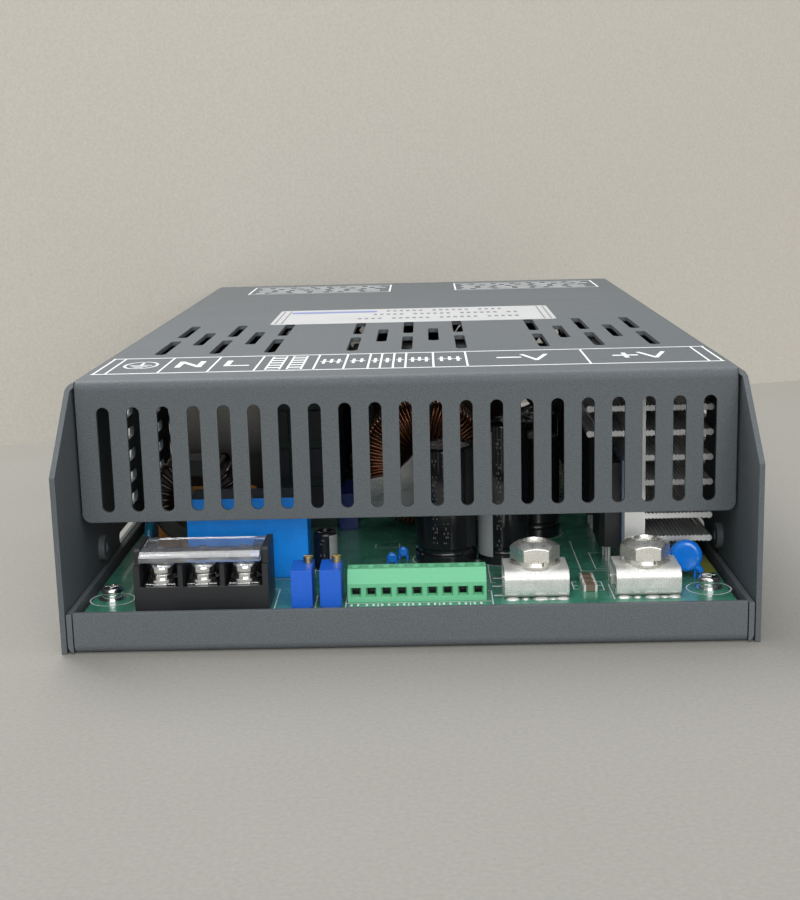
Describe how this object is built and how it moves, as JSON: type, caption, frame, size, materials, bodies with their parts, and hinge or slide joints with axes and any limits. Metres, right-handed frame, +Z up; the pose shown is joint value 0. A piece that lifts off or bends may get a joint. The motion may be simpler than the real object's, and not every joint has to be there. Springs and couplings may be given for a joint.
{
  "type": "switching power supply",
  "caption": "Open-front switching power supply: folded sheet case with a slotted flap over screw terminals, a loaded circuit board inside and fans at the rear.",
  "frame": {"origin": "middle of the footprint, on the underside of the tray", "axes": "+X to the right seen from the terminals, +Y from the terminals to the fans, +Z up"},
  "size_m": [0.156, 0.2716, 0.0585],
  "materials": {
    "tray_coat": "fine-textured grey powder coat",
    "cover_coat": "fine-textured grey powder coat",
    "zinc_steel": "zinc plated",
    "dark_steel": "blackened",
    "brass": "machined",
    "film": "translucent film",
    "board_green": "solder resist over glass fibre",
    "board_dark": "dark solder resist",
    "black_plastic": "moulded",
    "clear_plastic": "clear moulded plastic",
    "green_plastic": "moulded",
    "trimmer_blue": "moulded",
    "box_blue": "moulded box",
    "lacquer_blue": "dipped lacquer",
    "lacquer_teal": "dipped lacquer",
    "chip_brown": "fired ceramic",
    "sleeve_black": "shrunk sleeve",
    "relay_blue": "moulded case",
    "fuse_glass": "glass tube",
    "tinned": "tinned copper",
    "ferrite": "sintered ferrite",
    "orange_plastic": "moulded base",
    "copper": "enamelled copper wire",
    "aluminium": "extruded",
    "plate": "rolled plate",
    "can": "drawn can",
    "tape_dark": "dark polyester tape",
    "enamel_dark": "dark enamelled wire"
  },
  "bodies": {
    "case": {"base_tray": "tray_coat", "top_cover": "cover_coat", "cover_screws": "zinc_steel", "side_clinch_nuts": "zinc_steel", "board_standoffs": "brass", "board_screws": "zinc_steel", "insulation_sheet": "film", "main_board": "board_green", "ac_terminal_body": "black_plastic", "ac_terminal_clamps": "zinc_steel", "ac_terminal_screws": "zinc_steel", "trimmer_left_body": "trimmer_blue", "trimmer_right_body": "trimmer_blue", "signal_terminal_body": "green_plastic", "signal_terminal_screws": "zinc_steel", "dc_terminal_negative": "tinned", "dc_terminal_positive": "tinned", "dc_bolts": "zinc_steel", "dc_washers": "zinc_steel", "dc_nuts": "zinc_steel", "x_capacitor": "box_blue", "disc_capacitor": "lacquer_blue", "varistor": "lacquer_teal", "ceramic_drops": "lacquer_blue", "chip_capacitors": "chip_brown", "small_capacitor": "sleeve_black", "inrush_relay": "relay_blue", "fuse_tube": "fuse_glass", "fuse_clips": "zinc_steel", "common_mode_core": "ferrite", "common_mode_base": "orange_plastic", "common_mode_winding": "enamel_dark", "bridge_plate": "plate", "bridge_rectifier": "black_plastic", "control_board": "board_dark", "control_chips": "black_plastic", "bulk_capacitor_cans": "can", "bulk_capacitor_sleeves": "sleeve_black", "primary_heatsink": "plate", "primary_switches": "black_plastic", "transformer_cores": "ferrite", "transformer_windings": "tape_dark", "boost_choke_core": "ferrite", "boost_choke_winding": "copper", "output_heatsink": "aluminium", "output_rectifiers": "black_plastic", "device_leads": "tinned", "output_capacitor_cans": "can", "output_capacitor_sleeves": "sleeve_black", "output_choke_core": "ferrite", "output_choke_winding": "copper", "output_busbar": "tinned", "fan_left_frame": "black_plastic", "fan_right_frame": "black_plastic", "fan_screws": "dark_steel"},
    "terminal_cover": {"ac_terminal_cover": "clear_plastic"},
    "trimmer_left": {"trimmer_left_screw": "brass"},
    "trimmer_right": {"trimmer_right_screw": "brass"},
    "rotor_left": {"fan_left_rotor": "black_plastic"},
    "rotor_right": {"fan_right_rotor": "black_plastic"}
  },
  "joints": [
    {"name": "terminal_cover_hinge", "type": "hinge", "parent": "case", "child": "terminal_cover", "pos_m": [-0.04675, -0.11905, 0.0209], "axis": [-1, 0, 0], "range_deg": [0, 90]},
    {"name": "trimmer_left_turn", "type": "hinge", "parent": "case", "child": "trimmer_left", "pos_m": [-0.02305, -0.12305, 0.0168], "axis": [0, 0, 1], "continuous": true},
    {"name": "trimmer_right_turn", "type": "hinge", "parent": "case", "child": "trimmer_right", "pos_m": [-0.01655, -0.12305, 0.0168], "axis": [0, 0, 1], "continuous": true},
    {"name": "fan_left_spin", "type": "hinge", "parent": "case", "child": "rotor_left", "pos_m": [-0.037, 0.12415, 0.02925], "axis": [0, 1, 0], "continuous": true},
    {"name": "fan_right_spin", "type": "hinge", "parent": "case", "child": "rotor_right", "pos_m": [0.037, 0.12415, 0.02925], "axis": [0, 1, 0], "continuous": true}
  ]
}
